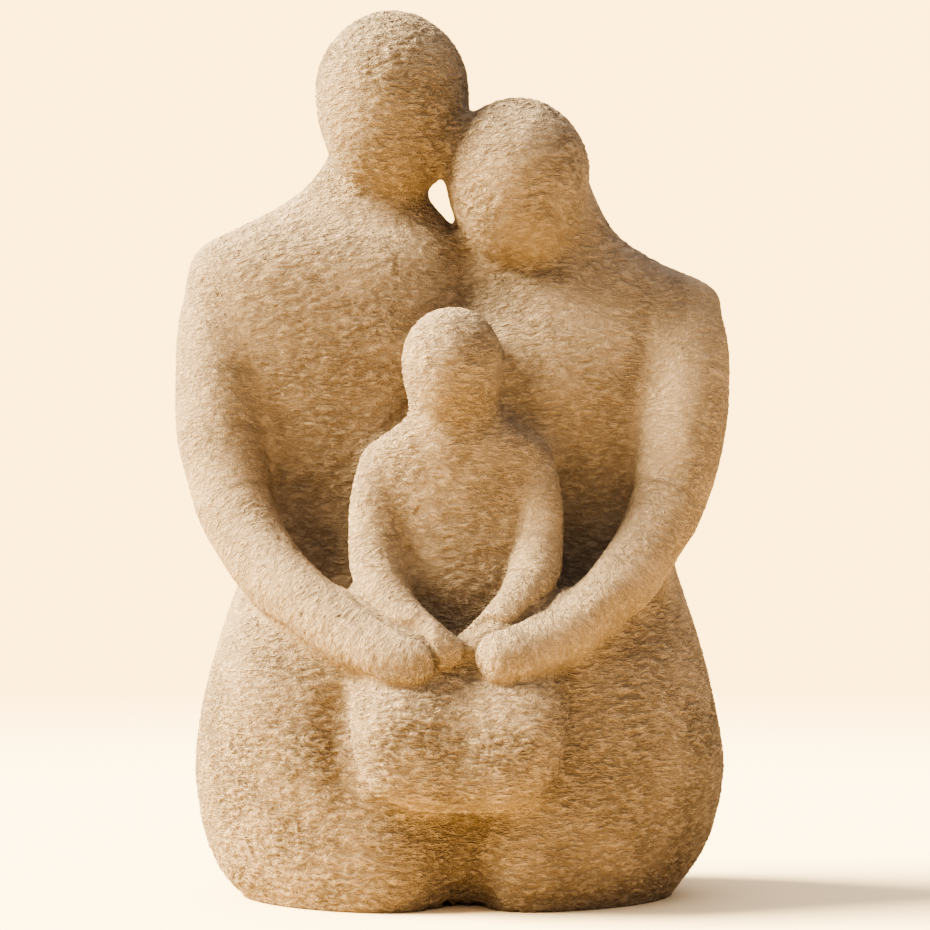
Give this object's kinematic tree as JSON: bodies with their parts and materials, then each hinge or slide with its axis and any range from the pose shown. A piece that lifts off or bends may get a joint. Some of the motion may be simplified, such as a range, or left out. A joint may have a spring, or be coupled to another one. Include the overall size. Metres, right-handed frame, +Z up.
{
  "type": "family group sculpture",
  "caption": "Abstract carved-look family group in cast sandstone: adults kneel side by side with heads together and arms round a seated child; flat underneath.",
  "frame": {"origin": "middle of the group's box, on the plane that its underside stands on", "axes": "+Z up along the group's height; -Y is the front, where the child sits; +X runs across, from the taller figure's side to the shorter one's"},
  "size_m": [0.2504, 0.1654, 0.3999],
  "materials": {
    "sandstone": "dry matt cast sandstone, warm sand to ochre, worked all over with short tool strokes, fine pits and dark grains"
  },
  "bodies": {
    "root": {"family_group": "sandstone"}
  },
  "joints": []
}
